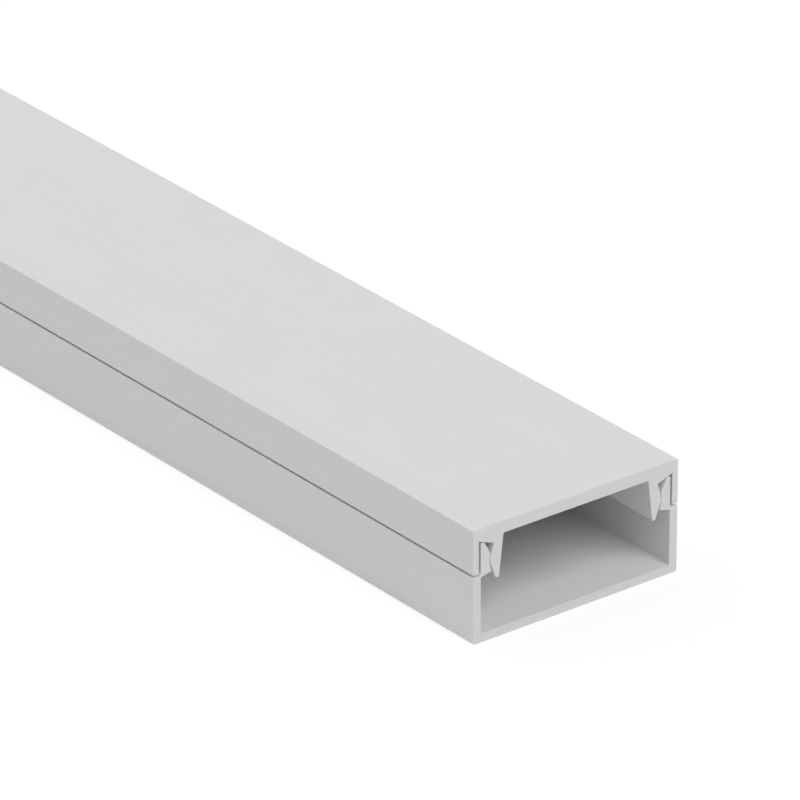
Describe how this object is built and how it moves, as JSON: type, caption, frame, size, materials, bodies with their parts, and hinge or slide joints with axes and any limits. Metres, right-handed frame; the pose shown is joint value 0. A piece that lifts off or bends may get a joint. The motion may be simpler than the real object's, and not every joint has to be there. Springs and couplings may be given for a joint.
{
  "type": "cable trunking",
  "caption": "Rectangular plastic cable trunking: an open U-shaped channel with inward lips, closed by a clip-on lid with side skirts and barbed legs.",
  "frame": {"origin": "middle of the flat back, halfway along the length", "axes": "+X along the trunking, +Y across it, +Z from the flat back (wall side) towards the lid"},
  "size_m": [2, 0.04, 0.0193],
  "materials": {
    "base_plastic": "smooth satin white PVC-U, extruded",
    "lid_plastic": "smooth satin white PVC-U, extruded"
  },
  "bodies": {
    "base": {"trunking_base": "base_plastic"},
    "lid": {"trunking_lid": "lid_plastic"}
  },
  "joints": [
    {"name": "lid_slide", "type": "slide", "parent": "base", "child": "lid", "axis": [1, 0, 0], "range_m": [-2, 2]}
  ]
}
